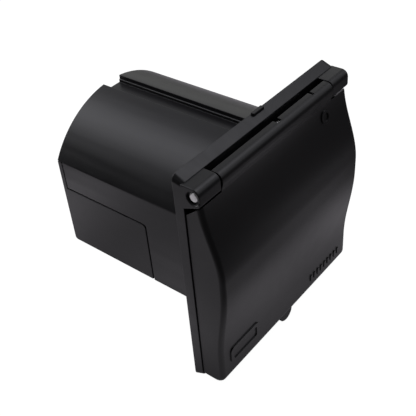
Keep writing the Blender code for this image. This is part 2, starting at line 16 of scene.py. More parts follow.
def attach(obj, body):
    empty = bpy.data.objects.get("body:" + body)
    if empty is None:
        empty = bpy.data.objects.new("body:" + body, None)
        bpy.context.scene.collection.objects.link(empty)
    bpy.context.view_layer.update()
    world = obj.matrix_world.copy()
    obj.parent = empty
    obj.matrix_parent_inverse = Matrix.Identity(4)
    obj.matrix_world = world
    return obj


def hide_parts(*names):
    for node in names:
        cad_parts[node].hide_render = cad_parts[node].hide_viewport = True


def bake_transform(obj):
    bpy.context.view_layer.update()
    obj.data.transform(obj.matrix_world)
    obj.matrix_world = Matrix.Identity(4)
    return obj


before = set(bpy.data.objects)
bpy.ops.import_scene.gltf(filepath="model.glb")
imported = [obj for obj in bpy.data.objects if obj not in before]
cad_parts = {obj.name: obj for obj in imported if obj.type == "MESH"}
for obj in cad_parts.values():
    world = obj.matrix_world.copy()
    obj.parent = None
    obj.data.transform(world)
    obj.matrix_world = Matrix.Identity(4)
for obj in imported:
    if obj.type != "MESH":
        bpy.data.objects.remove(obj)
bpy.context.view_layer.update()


MM = 0.001
GAP = 0.3       # clearance between neighbouring parts
RAISE = 40.0

# ---- driving dimensions (_R radius, _T thickness, _HALF half width in X) ----
FLANGE_W, FLANGE_H, FLANGE_T, FLANGE_CORNER = 106.0, 114.0, 4.6, 2.8
RIM_Y, RIM_Z, RIM_LIP_Z = -4.95, 54.6, 53.0
BOX_HALF, BOX_BOTTOM, BOX_DEPTH, WALL = 40.8, -23.0, 83.9, 2.2
ARC_R, ARC_Z = 47.6, -0.2                       # arched top of the box
GROOVE_HALF, GROOVE_FLOOR = 5.25, 43.6          # groove along its crown
MOUTH_R = 41.4
BULKHEAD_Y, BULKHEAD_T = 28.6, 2.3
HINGE_Y, HINGE_Z, PIN_R, PIN_BORE = -9.6, 50.0, 2.1, 2.18
HINGE = (0, HINGE_Y, HINGE_Z)
KNUCKLE_IN, KNUCKLE_OUT, EYE_R = 40.0, 53.0, 3.6
COIL_R, WIRE_R = 2.56, 0.35
COIL_X0, COIL_X1 = 1.7, 27.6
POCKET_X0, POCKET_X1, POCKET_R = 0.4, 29.2, 3.1  # room for the spring in the lid
LID_HALF, LID_BOTTOM, LID_REAR, LID_SKIN = 52.45, -53.8, -4.9, 2.2
BARREL_HALF = 39.5                              # lid part between the knuckles
TAB_HALF, TAB_Y0, TAB_Y1, TAB_LOW = 4.9, -14.6, -12.2, -57.9
COVER_FRONT, COVER_TOP, COVER_GAP, PLATE_Y0, PLATE_TOP = 31.9, 9.25, 0.85, 81.3, 24.3
COVER_SEAT_Y = PLATE_Y0 - 0.6                   # housing face behind which the cover sits
COVER_SCREW_X, COVER_SCREW_Z, COVER_SCREW_SEAT = 35.0, 17.0, 82.4
CORE_Z = 8.0                                    # height of the carrier's axis
COLLAR_OUT, COLLAR_IN, COLLAR_FRONT = 24.75, 21.75, -9.0
BASE_FRONT, PLATE_FRONT, CARRIER_BACK = 18.0, 24.9, 27.4
BOSS_R, BOSS_BACK = 18.4, 38.0
BULKHEAD_HOLE_R = BOSS_R + 0.6
PLATE_HALF_X, PLATE_HALF_Z, SCREW_X, SCREW_Z = 27.5, 26.0, 23.0, 21.5
SCREW_HOLE_R = 2.1
MOUNT_X, MOUNT_TOP_Z, MOUNT_LOW_Z = 47.0, 33.0, -47.0
# Contact: x, z, pin radius
CONTACTS = {
    "line_pin": (-9.5, 13.5, 2.5),
    "neutral_pin": (9.5, 13.5, 2.5),
    "earth_pin": (0.0, -3.0, 3.0),
}
TIP_Y, BARREL_Y0, BARREL_Y1, BARREL_R = -2.0, 38.3, 52.0, 4.3
TERMINAL_Y = 47.0
CABLE_Z, CABLE_R, CLAMP_X, CLAMP_Y = -9.0, 5.0, 13.0, 68.0
CLAMP_Z = CABLE_Z + CABLE_R                     # underside of the clamp bar

SIDES = (("left", -1), ("right", 1))
CORNERS = ((-1, -1), (1, -1), (-1, 1), (1, 1))
CARRIER_SCREWS = [(sx * SCREW_X, CORE_Z + sz * SCREW_Z) for sx, sz in CORNERS]

# How a prism lies: outlines are (y, z) along X, (x, z) along Y and (x, y) along Z
AXES = {
    "X": Matrix(((0, 0, 1, 0), (1, 0, 0, 0), (0, 1, 0, 0), (0, 0, 0, 1))),
    "Y": Matrix(((1, 0, 0, 0), (0, 0, -1, 0), (0, 1, 0, 0), (0, 0, 0, 1))),
    "Z": Matrix.Identity(4),
}
# How a turned piece's own Z axis is swung onto the named axis
TURNS = {
    "X": Matrix.Rotation(math.pi / 2, 4, "Y"),
    "Y": Matrix.Rotation(-math.pi / 2, 4, "X"),
    "Z": Matrix.Identity(4),
}
scene = bpy.context.scene


# ===========================================================================
# Mesh tools
# ===========================================================================
def add(name, data):
    obj = bpy.data.objects.new(name, data)
    scene.collection.objects.link(obj)
    return obj


def evaluated(obj):
    bpy.context.view_layer.update()
    graph = bpy.context.evaluated_depsgraph_get()
    return bpy.data.meshes.new_from_object(obj.evaluated_get(graph))


def consume(guide):
    """Turn a guide object into a mesh and remove it."""
    mesh = evaluated(guide)
    bpy.data.objects.remove(guide, do_unlink=True)
    return mesh


@contextmanager
def editing(mesh):
    shape = bmesh.new()
    shape.from_mesh(mesh)
    yield shape
    shape.to_mesh(mesh)
    shape.free()


def bevel(mesh, width, segments, chosen, clamp=False):
    with editing(mesh) as shape:
        edges = [edge for edge in shape.edges if chosen(edge)]
        bmesh.ops.bevel(shape, geom=edges, offset=width * MM, segments=segments,
                        profile=0.5, affect="EDGES", clamp_overlap=clamp)


def soften(mesh, width, segments=2, angle=32):
    """Round every edge sharper than `angle` by `width` millimetres."""
    def sharp(edge):
        return len(edge.link_faces) == 2 and edge.calc_face_angle(0.0) > math.radians(angle)

    if width:
        bevel(mesh, width, segments, sharp, clamp=True)


def round_edges(obj, width, segments, chosen):
    """Round the edges whose two ends, in millimetres, satisfy `chosen`."""
    bevel(obj.data, width, segments,
          lambda edge: chosen(edge.verts[0].co / MM, edge.verts[1].co / MM))


def poly_curve(name, dimensions, paths):
    curve = bpy.data.curves.new(name, "CURVE")
    curve.dimensions = dimensions
    for path in paths:
        spline = curve.splines.new("POLY")
        spline.points.add(len(path) - 1)
        for point, place_mm in zip(spline.points, path):
            x, y, z = (*place_mm, 0)[:3]
            point.co = (x * MM, y * MM, z * MM, 1)
    return curve


def prism(name, outlines, axis, low, high, edge=0.0, segments=2):
    """Extrude one outline, or several with holes, from low to high along an axis."""
    if isinstance(outlines[0][0], (int, float)):
        outlines = [outlines]
    curve = poly_curve(name, "2D", outlines)
    curve.fill_mode = "BOTH"
    curve.extrude = abs(high - low) / 2 * MM
    for spline in curve.splines:
        spline.use_cyclic_u = True
    mesh = consume(add(name + "_outline", curve))
    middle = (low + high) / 2 * MM
    shift = [middle if key == axis else 0 for key in "XYZ"]
    with editing(mesh) as shape:
        bmesh.ops.remove_doubles(shape, verts=shape.verts, dist=1e-6)
        bmesh.ops.dissolve_limit(shape, angle_limit=0.002, verts=shape.verts, edges=shape.edges)
        bmesh.ops.transform(shape, matrix=Matrix.Translation(shift) @ AXES[axis],
                            verts=shape.verts)
        bmesh.ops.recalc_face_normals(shape, faces=shape.faces)
    mesh.name = name
    soften(mesh, edge, segments)
    return add(name, mesh)


def box(name, low, high, edge=0.0):
    mesh = bpy.data.meshes.new(name)
    size = Vector([(b - a) * MM for a, b in zip(low, high)])
    middle = Vector([(a + b) / 2 * MM for a, b in zip(low, high)])
    with editing(mesh) as shape:
        bmesh.ops.create_cube(shape, size=1.0)
        bmesh.ops.scale(shape, vec=size, verts=shape.verts)
        bmesh.ops.translate(shape, vec=middle, verts=shape.verts)
    soften(mesh, edge)
    return add(name, mesh)


def fillet(profile, radius, steps=3):
    """Round the corners of a (radius, distance) profile that lie off the axis."""
    points = [profile[0]]
    for before, corner, after in zip(profile, profile[1:], profile[2:]):
        middle = Vector(corner)
        back, ahead = Vector(before) - middle, Vector(after) - middle
        reach = min(radius, back.length * 0.45, ahead.length * 0.45)
        back.normalize()
        ahead.normalize()
        if corner[0] < 0.01 or back.dot(ahead) < -0.93:
            points.append(corner)
            continue
        start, end = middle + back * reach, middle + ahead * reach
        for i in range(steps + 1):
            t = i / steps
            point = start * (1 - t) ** 2 + middle * (2 * t * (1 - t)) + end * t ** 2
            points.append((point.x, point.y))
    return points + [profile[-1]]


def turned(name, profile, axis, centre, steps=64, closed=False, edge=0.0):
    """Turn a (radius, distance along the axis) profile about an axis through centre."""
    if edge and closed:
        profile = fillet([profile[-1], *profile, profile[0]], edge)[1:-1]
    elif edge:
        profile = fillet(profile, edge)
    mesh = bpy.data.meshes.new(name)
    verts = [(radius * MM, 0, distance * MM) for radius, distance in profile]
    edges = [(i, i + 1) for i in range(len(verts) - 1)]
    if closed:
        edges.append((len(verts) - 1, 0))
    mesh.from_pydata(verts, edges, [])
    guide = add(name, mesh)
    screw_mod = guide.modifiers.new("turn", "SCREW")
    screw_mod.axis = "Z"
    screw_mod.steps = screw_mod.render_steps = steps
    screw_mod.use_merge_vertices = True
    screw_mod.merge_threshold = 0.000005
    solid = consume(guide)
    solid.transform(Matrix.Translation(Vector(centre) * MM) @ TURNS[axis])
    with editing(solid) as shape:
        bmesh.ops.recalc_face_normals(shape, faces=shape.faces)
    solid.name = name
    return add(name, solid)


def rod(name, radius, axis, centre, low, high, steps=48, edge=0.0):
    profile = [(0, high), (radius, high), (radius, low), (0, low)]
    return turned(name, profile, axis, centre, steps, edge=edge)


def boolean(obj, tool, operation):
    mod = obj.modifiers.new(tool.name, "BOOLEAN")
    mod.operation = operation
    mod.solver = "EXACT"
    mod.object = tool


def cut(obj, tool):
    boolean(obj, tool, "DIFFERENCE")


def join(obj, tool):
    boolean(obj, tool, "UNION")


def drop(tool):
    """Remove a boolean tool and the tools that shaped it."""
    for mod in list(tool.modifiers):
        drop(mod.object)
    bpy.data.objects.remove(tool, do_unlink=True)


def bake(obj, mat):
    """Apply the booleans, drop the tools, give clean normals and one material."""
    mesh = evaluated(obj)
    mesh.transform(Matrix.Translation((0, 0, RAISE * MM)))
    tools = [mod.object for mod in obj.modifiers]
    obj.modifiers.clear()
    obj.data = mesh
    for tool in tools:
        drop(tool)
    mesh.shade_smooth()
    mesh.set_sharp_from_angle(angle=math.radians(34))
    weighted = obj.modifiers.new("weighted", "WEIGHTED_NORMAL")
    weighted.mode = "FACE_AREA"
    weighted.weight = 90
    weighted.keep_sharp = True
    mesh.materials.clear()
    mesh.materials.append(mat)


def place(obj, node, body, mat):
    bake(obj, mat)
    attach(obj, body)
    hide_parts(node)


# ===========================================================================
# Outlines
# ===========================================================================
def arc(centre, radius, angles):
    """Points at the given angles, in degrees from the outline's first axis."""
    return [(centre[0] + radius * math.cos(math.radians(angle)),
             centre[1] + radius * math.sin(math.radians(angle))) for angle in angles]


def circle(x, z, radius, steps):
    turns = [2 * math.pi * i / steps for i in range(steps)]
    return [(x + radius * math.cos(turn), z + radius * math.sin(turn)) for turn in turns]


def rounded(x0, x1, z0, z1, radius, steps=8):
    """Rectangle with rounded corners."""
    left, right, low, high = x0 + radius, x1 - radius, z0 + radius, z1 - radius
    points = []
    for x, z, start in ((right, high, 0), (left, high, 90), (left, low, 180), (right, low, 270)):
        points += arc((x, z), radius, [start + 90 * i / steps for i in range(steps + 1)])
    return points


def d_outline(half, bottom, radius, groove=None, ledge=False, steps=72):
    """Flat-bottomed, arch-topped outline.

    `groove` is the half width and floor height of a groove in the crown; `ledge` adds
    a small step on the groove's right wall.
    """
    def arch(angles):
        return [(radius * math.sin(a), ARC_Z + radius * math.cos(a)) for a in angles]

    points = [(-half, bottom), (half, bottom)]
    corner = math.asin(half / radius)
    if not groove:
        return points + arch(corner - 2 * corner * i / steps for i in range(steps + 1))
    wall, floor_z = groove
    stop = math.asin(wall / radius)
    count = steps // 2
    right_side = [corner + (stop - corner) * i / count for i in range(count + 1)]
    points += arch(right_side)
    if ledge:
        points += [(wall, floor_z + 1.5), (wall - 0.45, floor_z + 1.35),
                   (wall - 0.5, floor_z + 0.05), (wall - 0.6, floor_z)]
    else:
        points.append((wall, floor_z))
    points.append((-wall, floor_z))
    return points + arch(-a for a in reversed(right_side))


# Outer and inner loop of the seal between the lid and the flange
SEAL_LOOPS = [d_outline(BOX_HALF + 1.4, BOX_BOTTOM - 1.4, ARC_R - 2.0),
              d_outline(BOX_HALF - 0.6, BOX_BOTTOM + 0.6, ARC_R - 4.0)]
CARRIER_PLATE = rounded(-PLATE_HALF_X, PLATE_HALF_X,
                        CORE_Z - PLATE_HALF_Z, CORE_Z + PLATE_HALF_Z, 4.0)


# ===========================================================================
# Materials
# ===========================================================================
class Graph:
    """Shorthand for filling an emptied node tree."""

    def __init__(self, tree):
        self.tree = tree
        tree.nodes.clear()

    def new(self, kind, **settings):
        node = self.tree.nodes.new(kind)
        for key, value in settings.items():
            setattr(node, key, value)
        return node

    def link(self, output, socket):
        self.tree.links.new(output, socket)

    def feed(self, socket, source):
        """Link a socket's source, or set it as the socket's value."""
        if isinstance(source, bpy.types.NodeSocket):
            self.link(source, socket)
        else:
            socket.default_value = source

    def vector_math(self, operation, first, second):
        node = self.new("ShaderNodeVectorMath", operation=operation)
        self.feed(node.inputs[0], first)
        self.feed(node.inputs[1], second)
        return node.outputs["Value" if operation == "DOT_PRODUCT" else "Vector"]


class Nodes(Graph):
    """A new material's tree with its output, shader and object coordinates."""

    def __init__(self, name):
        self.mat = bpy.data.materials.new(name)
        self.mat.use_nodes = True
        super().__init__(self.mat.node_tree)
        self.out = self.new("ShaderNodeOutputMaterial")
        self.bsdf = self.new("ShaderNodeBsdfPrincipled")
        self.link(self.bsdf.outputs[0], self.out.inputs["Surface"])
        self.coord = self.new("ShaderNodeTexCoord").outputs["Object"]

    def shade(self, name, source):
        self.feed(self.bsdf.inputs[name], source)

    def math(self, operation, first, second=0.0, clamp=False):
        node = self.new("ShaderNodeMath", operation=operation, use_clamp=clamp)
        self.feed(node.inputs[0], first)
        self.feed(node.inputs[1], second)
        return node.outputs[0]

    def noise(self, scale, detail, stretch=None):
        vector = self.coord
        if stretch:
            mapping = self.new("ShaderNodeMapping")
            mapping.inputs["Scale"].default_value = stretch
            self.link(self.coord, mapping.inputs["Vector"])
            vector = mapping.outputs[0]
        node = self.new("ShaderNodeTexNoise")
        self.link(vector, node.inputs["Vector"])
        node.inputs["Scale"].default_value = scale
        node.inputs["Detail"].default_value = detail
        node.inputs["Roughness"].default_value = 0.5
        return node.outputs["Fac"]

    def remap(self, socket, source=(0.3, 0.7), target=(0.0, 1.0)):
        node = self.new("ShaderNodeMapRange")
        self.link(socket, node.inputs["Value"])
        for key, limit in zip(("From Min", "From Max", "To Min", "To Max"), source + target):
            node.inputs[key].default_value = limit
        return node.outputs[0]

    def mix(self, factor, first, second):
        node = self.new("ShaderNodeMix", data_type="RGBA")
        self.feed(node.inputs[0], factor)
        for index, colour in ((6, first), (7, second)):
            self.feed(node.inputs[index], (*colour, 1.0) if isinstance(colour, tuple) else colour)
        return node.outputs[2]

    def mix_shader(self, factor, first, second):
        node = self.new("ShaderNodeMixShader")
        for socket, source in zip(node.inputs, (factor, first, second)):
            self.feed(socket, source)
        return node.outputs[0]

    def bump(self, height, strength, distance, normal):
        node = self.new("ShaderNodeBump")
        node.inputs["Strength"].default_value = strength
        node.inputs["Distance"].default_value = distance
        self.link(height, node.inputs["Height"])
        self.link(normal, node.inputs["Normal"])
        return node.outputs[0]

    def soft_edge(self, radius):
        node = self.new("ShaderNodeBevel", samples=4)
        node.inputs["Radius"].default_value = radius
        return node.outputs[0]

    def edge_mask(self, normal):
        """One where the softened normal leaves the true one, zero on flat faces."""
        geometry = self.new("ShaderNodeNewGeometry")
        dot = self.vector_math("DOT_PRODUCT", normal, geometry.outputs["Normal"])
        return self.remap(dot, source=(0.985, 0.80))


def moulded(name, dark, light, rough, streak=0.0):
    """Moulded plastic: fine spark grain, faint flow streaks, and edges lightened in colour,
    partly as wear and partly as a painted edge highlight.
    """
    nodes = Nodes(name)
    soft = nodes.soft_edge(radius=0.00028)
    mask = nodes.edge_mask(soft)
    cloud = nodes.noise(scale=45.0, detail=4.0)
    patch = nodes.noise(scale=160.0, detail=3.0)
    tone = nodes.mix(nodes.remap(cloud), dark, light)
    # Lighter base colour on convex edges, in patches: part wear, part painted edge highlight
    worn_and_highlit_tone = tuple(min(1.0, channel * 2.6 + 0.006) for channel in light)
    patchy = nodes.remap(patch, source=(0.35, 0.65), target=(0.15, 0.75))
    rubbed_and_highlit_edges = nodes.math("MULTIPLY", mask, patchy, clamp=True)
    nodes.shade("Base Color", nodes.mix(rubbed_and_highlit_edges, tone, worn_and_highlit_tone))
    gloss = nodes.remap(patch, target=(rough - 0.012, rough + 0.012))
    fine = nodes.noise(scale=5200.0, detail=2.0)
    gloss = nodes.math("ADD", gloss, nodes.remap(fine, target=(-0.015, 0.015)))
    nodes.shade("Specular IOR Level", 0.5)
    normal = nodes.bump(fine, strength=0.25, distance=0.00002, normal=soft)
    if streak:
        lines = nodes.noise(scale=900.0, detail=3.0, stretch=(1.0, 0.02, 1.0))
        broad = nodes.noise(scale=260.0, detail=2.0, stretch=(1.0, 0.05, 1.0))
        normal = nodes.bump(lines, strength=streak, distance=0.00003, normal=normal)
        gloss = nodes.math("ADD", gloss, nodes.remap(broad, target=(-0.035, 0.035)))
    nodes.shade("Roughness", gloss)
    nodes.shade("Normal", normal)
    return nodes.mat


def metal(name, color, dull, rough, stretch):
    """Brushed metal with dull clouds."""
    nodes = Nodes(name)
    soft = nodes.soft_edge(radius=0.00012)
    cloud = nodes.noise(scale=700.0, detail=4.0)
    dullness = nodes.remap(cloud, source=(0.35, 0.7), target=(0.0, 0.8))
    nodes.shade("Base Color", nodes.mix(dullness, color, dull))
    nodes.shade("Metallic", 1.0)
    brushed = nodes.noise(scale=2600.0, detail=3.0, stretch=stretch)
    nodes.shade("Roughness", nodes.remap(brushed, target=(rough - 0.07, rough + 0.09)))
    nodes.shade("Normal", nodes.bump(brushed, strength=0.25, distance=0.00001, normal=soft))
    return nodes.mat


def elastomer(name, dark, light, rough):
    """Matt rubber with a fine grain."""
    nodes = Nodes(name)
    soft = nodes.soft_edge(radius=0.0003)
    cloud = nodes.noise(scale=120.0, detail=4.0)
    nodes.shade("Base Color", nodes.mix(nodes.remap(cloud), dark, light))
    fine = nodes.noise(scale=3000.0, detail=3.0)
    nodes.shade("Roughness", nodes.remap(fine, target=(rough - 0.06, rough + 0.06)))
    nodes.shade("Normal", nodes.bump(fine, strength=0.35, distance=0.00003, normal=soft))
    return nodes.mat


BLACK_BOX = moulded("black_box_plastic", dark=(0.0060, 0.0058, 0.0068),
                    light=(0.0085, 0.0082, 0.0095), rough=0.33, streak=0.30)
BLACK_LID = moulded("black_lid_plastic", dark=(0.0052, 0.0050, 0.0054),
                    light=(0.0072, 0.0069, 0.0074), rough=0.35)
BLACK_COVER = moulded("black_cover_plastic", dark=(0.0066, 0.0063, 0.0072),
                      light=(0.0092, 0.0088, 0.0100), rough=0.40)
INSERT = moulded("insert_plastic", dark=(0.030, 0.031, 0.034),
                 light=(0.042, 0.043, 0.046), rough=0.48)
RUBBER = elastomer("seal_rubber", dark=(0.010, 0.010, 0.010),
                   light=(0.018, 0.018, 0.018), rough=0.75)
STEEL = metal("plated_steel", color=(0.86, 0.86, 0.85), dull=(0.70, 0.70, 0.69),
              rough=0.30, stretch=(1.0, 1.0, 0.12))
SPRING_STEEL = metal("spring_steel", color=(0.58, 0.58, 0.57), dull=(0.40, 0.40, 0.40),
                     rough=0.28, stretch=(0.2, 1.0, 1.0))
CONTACT = metal("plated_brass", color=(0.74, 0.67, 0.50), dull=(0.62, 0.56, 0.42),
                rough=0.24, stretch=(1.0, 0.08, 1.0))

# ===========================================================================
# Housing
# ===========================================================================
KNUCKLE_TOP_R, KNUCKLE_TOP_Z = 3.2, 51.1        # rounded front top of a knuckle
# Knuckle below and in front of that rounding: y, z
KNUCKLE_FOOT = [(-4.0, 43.0), (-4.7, 43.2), (-12.1, 46.3), (-12.8, 47.4)]
# Bead under the box: y, z
STOP_BEAD = [(23.0, -22.0), (23.0, -23.3), (28.5, -24.1), (31.2, -24.1), (31.2, -22.0)]
# Countersunk mounting hole and the recess for the pin's left end: radius, distance
MOUNT_HOLE = [(0, 4.0), (2.2, 4.0), (2.2, -2.4), (4.4, -4.6), (4.4, -9.0), (0, -9.0)]
PIN_RECESS = [(0, -52.0), (3.0, -52.0), (3.0, -52.7), (3.4, -53.1), (3.4, -60.0), (0, -60.0)]
BULKHEAD_CUT = (BULKHEAD_Y - 4, BULKHEAD_Y + 8)
FLAP_ROOM_R = 1.8


def flange_block():
    half_w, half_h = FLANGE_W / 2, FLANGE_H / 2
    flange = prism("flange_block", [
        (0, half_h), (RIM_Y, RIM_Z), (RIM_Y, RIM_LIP_Z), (-FLANGE_T, RIM_LIP_Z - 0.8),
        (-FLANGE_T, -RIM_Z), (0, -half_h)], "X", -half_w, half_w)

    def corner(a, b):
        return (abs(abs(a.x) - half_w) < 0.01 and abs(a.x - b.x) < 0.01
                and abs(a.y - b.y) > 3 and abs(a.z) > 50 and a.z * b.z > 0)

    round_edges(flange, FLANGE_CORNER, 7, corner)
    soften(flange.data, 0.35, 2, 24)
    return flange


def add_hinge_knuckles(housing):
    outline = KNUCKLE_FOOT + [(HINGE_Y - KNUCKLE_TOP_R, KNUCKLE_TOP_Z)]
    outline += arc((HINGE_Y, KNUCKLE_TOP_Z), KNUCKLE_TOP_R, range(171, 89, -9))
    top = KNUCKLE_TOP_Z + KNUCKLE_TOP_R
    outline += [(-5.6, top), (-4.0, top)]
    for tag, side in SIDES:
        low, high = sorted((side * KNUCKLE_IN, side * KNUCKLE_OUT))
        join(housing, prism("knuckle_" + tag, outline, "X", low, high, edge=0.4, segments=3))


def hollow_housing(housing):
    """Open the mouth and the rooms before and behind the bulkhead."""
    half, bottom = BOX_HALF - WALL, BOX_BOTTOM + WALL
    room = d_outline(half, bottom, ARC_R - WALL, (GROOVE_HALF + 2.0, GROOVE_FLOOR - WALL))
    cut(housing, prism("mouth", d_outline(half, bottom, MOUTH_R), "Y", -12.0, 2.0))
    cut(housing, prism("front_room", room, "Y", 1.0, BULKHEAD_Y))
    cut(housing, prism("rear_room", room, "Y", BULKHEAD_Y + BULKHEAD_T, BOX_DEPTH - 2.4))


def clear_rear_cover(housing):
    """Cut away the lower rear of the box, where the rear cover goes."""
    front_y, top = COVER_FRONT - COVER_GAP, COVER_TOP + COVER_GAP
    corner_y, corner_z = front_y + FLAP_ROOM_R, top - FLAP_ROOM_R
    room = [(front_y, -40.0), (120.0, -40.0), (120.0, top), (corner_y, top)]
    room += arc((corner_y, corner_z), FLAP_ROOM_R, range(100, 181, 10))
    cut(housing, prism("flap_room", room, "X", -60.0, 60.0))
    cut(housing, box("plate_room", (-60, COVER_SEAT_Y, -60), (60, 120, PLATE_TOP + GAP)))
    for tag, side in SIDES:
        centre = (side * COVER_SCREW_X, 0, COVER_SCREW_Z)
        join(housing, rod("screw_boss_" + tag, 4.0, "Y", centre, 60.0, COVER_SEAT_Y, 40))
        cut(housing, rod("boss_bore_" + tag, 1.9, "Y", centre, 66.0, 90.0, 32))


def drill_housing(housing):
    cut(housing, rod("bulkhead_hole", BULKHEAD_HOLE_R, "Y", (0, 0, CORE_Z), *BULKHEAD_CUT, 72))
    for i, (sx, sz) in enumerate(CORNERS):
        x, z = CARRIER_SCREWS[i]
        cut(housing, rod("bulkhead_screw_hole_%d" % i, SCREW_HOLE_R, "Y", (x, 0, z),
                         *BULKHEAD_CUT, 32))
        mount = (sx * MOUNT_X, 0, MOUNT_TOP_Z if sz > 0 else MOUNT_LOW_Z)
        cut(housing, turned("mounting_hole_%d" % i, MOUNT_HOLE, "Y", mount, 40))
    # the right bore is blind: it stops inside the knuckle
    cut(housing, rod("pin_bore_left", PIN_BORE, "X", HINGE, -60.0, -30.0))
    cut(housing, rod("pin_bore_right", PIN_BORE, "X", HINGE, 30.0, 51.3))
    cut(housing, turned("pin_head_recess", PIN_RECESS, "X", HINGE, 48))


def build_housing():
    flange = flange_block()
    outline = d_outline(BOX_HALF, BOX_BOTTOM, ARC_R, (GROOVE_HALF, GROOVE_FLOOR), ledge=True)
    housing = prism("housing_shell", outline, "Y", -1.0, BOX_DEPTH, edge=0.3)
    join(housing, flange)
    add_hinge_knuckles(housing)
    join(housing, prism("stop_bead", STOP_BEAD, "X", -40.0, 40.0, edge=0.25))
    join(housing, box("top_nub", (-3.3, -1.8, 55.5), (3.8, -0.02, 57.6), edge=0.2))
    hollow_housing(housing)
    clear_rear_cover(housing)
    drill_housing(housing)
    place(housing, "housing", "box", BLACK_BOX)


build_housing()

# ===========================================================================
# Lid
# ===========================================================================
# The front face swells from the head to the belly and falls back to the foot
HEAD_Y, BELLY_Y, FOOT_Y = -12.0, -20.25, -16.1
HEAD_Z, BELLY_TOP_Z, BELLY_LOW_Z, FOOT_Z = 50, 10, 4, -38
# Lid head, in front of and behind the rounding over the hinge: y, z
HEAD_FRONT = [(-12.24, 45.9), (-12.36, 46.6), (-12.58, 47.3), (-12.86, 48.1),
              (-13.08, 49.0), (-13.19, 49.8)]
HEAD_BACK = [(-8.5, 54.08), (-8.1, 54.05), (-7.87, 53.85), (-7.8, 53.5), (-7.8, 47.2),
             (LID_REAR, 47.2)]
# Cut-outs beside the barrel and the room inside the head: y, z
SHOULDER_CUT = [(0.0, 40.0), (LID_REAR, 40.0), (-10.6, 44.6), (-13.0, 46.1), (-30.0, 46.1),
                (-30.0, 60.0), (0.0, 60.0)]
HEAD_ROOM = [(-4.0, 36.0), (-4.0, 45.6), (-9.9, 45.6), (-11.0, 43.0), (-11.0, 36.0)]
EYE_GAP = 0.2


def lid_front(z):
    """Y of the lid's front face at a height."""
    def swell(start, end, done, span):
        return start + (end - start) * (1 - math.cos(math.pi * done / span)) / 2

    if z >= HEAD_Z:
        return HEAD_Y
    if z >= BELLY_TOP_Z:
        return swell(HEAD_Y, BELLY_Y, HEAD_Z - z, HEAD_Z - BELLY_TOP_Z)
    if z >= BELLY_LOW_Z:
        return BELLY_Y
    if z >= FOOT_Z:
        return swell(BELLY_Y, FOOT_Y, BELLY_LOW_Z - z, BELLY_LOW_Z - FOOT_Z)
    return FOOT_Y


def lid_outline(skin, side_top, steps=96):
    """Bottom and front of the lid's side view, moved inward by `skin`."""
    radius = max(5.0 - skin, 1.0)
    base = LID_BOTTOM + skin
    corner_z = base + radius
    corner_y = lid_front(corner_z) + skin + radius
    points = [(-1.0 if skin else LID_REAR, base)]
    points += arc((corner_y, corner_z), radius, range(-90, -181, -9))
    for i in range(1, steps + 1):
        z = corner_z + (side_top - base - radius) * i / steps
        points.append((lid_front(z) + skin, z))
    return points


def behind_axis(radius):
    """Round the hinge axis and open to the rear."""
    rise = radius * math.sin(math.radians(60))
    return [(-4.0, HINGE_Z + rise), *arc((HINGE_Y, HINGE_Z), radius, range(60, 301, 10)),
            (-4.0, HINGE_Z - rise - 0.25)]


def outer_lid():
    outline = lid_outline(0.0, 45.2) + HEAD_FRONT
    outline += arc((-9.8, 50.6), 3.4, range(180, 89, -6)) + HEAD_BACK
    lid = prism("lid_shell", outline, "X", -LID_HALF, LID_HALF)

    def side_edge(a, b):
        at_side = abs(abs(a.x) - LID_HALF) < 0.01 and abs(a.x - b.x) < 0.01
        at_rear = abs(a.y - LID_REAR) < 0.01 and abs(b.y - LID_REAR) < 0.01
        return at_side and not at_rear and not (a.z > 46.5 and b.z > 46.5)

    round_edges(lid, 2.2, 6, side_edge)
    for tag, side in SIDES:
        low, high = sorted((side * BARREL_HALF, side * 60.0))
        cut(lid, prism("lid_shoulder_" + tag, SHOULDER_CUT, "X", low, high))
    return lid


def add_hinge_barrel(lid):
    """Clear the spring and the pin, then add the eyes that carry the pin."""
    cut(lid, prism("spring_pocket", behind_axis(POCKET_R), "X", POCKET_X0, POCKET_X1))
    cut(lid, box("spring_window", (0.8, -10.3, 51.6), (3.9, -7.0, 56.0)))
    # room for the fixed leg as the lid opens
    cut(lid, box("spring_leg_notch", (26.9, -10.6, 51.6), (28.4, -7.0, 56.0)))
    relief_x0, relief_x1 = -31.0, -6.0
    cut(lid, prism("pin_relief", behind_axis(2.7), "X", relief_x0, relief_x1))
    for tag, x0, x1 in (
            ("left", -BARREL_HALF + EYE_GAP, relief_x0 - EYE_GAP),
            ("mid", relief_x1 + EYE_GAP, POCKET_X0 - EYE_GAP),
            ("right", POCKET_X1 + EYE_GAP, BARREL_HALF - EYE_GAP)):
        join(lid, rod("hinge_eye_" + tag, EYE_R, "X", HINGE, x0, x1, 64))


def finger_tab():
    centre_z = TAB_LOW + TAB_HALF
    outline = [(-TAB_HALF, -50.0), (-TAB_HALF, centre_z)]
    outline += arc((0.0, centre_z), TAB_HALF, range(186, 360, 6))
    outline += [(TAB_HALF, centre_z), (TAB_HALF, -50.0)]
    return prism("finger_tab", outline, "Y", TAB_Y0, TAB_Y1, edge=0.45, segments=3)


def relief_marks():
    """Marks raised on the front: a blank frame, a row of short ribs and a ring."""
    heights = range(-50, 47)
    layer = [(lid_front(z) + 0.9, z) for z in heights]
    layer += [(lid_front(z) - 0.5, z) for z in reversed(heights)]
    relief = prism("relief_layer", layer, "X", -50.2, 50.2)
    marks = [rounded(-46.2, -25.0, -44.9, -35.2, 2.6), rounded(-44.2, -27.0, -42.9, -37.2, 1.2)]
    for i in range(9):
        x = 19.0 + 3.1 * i
        marks.append(rounded(x, x + 1.5, -46.6, -42.6, 0.6, 4))
    marks += [circle(33.5, 40.6, 3.2, 56), circle(33.5, 40.6, 2.0, 48)]
    mark_prism = prism("relief_marks", marks, "Y", -26.0, -8.0)
    boolean(mark_prism, relief, "INTERSECT")
    return mark_prism


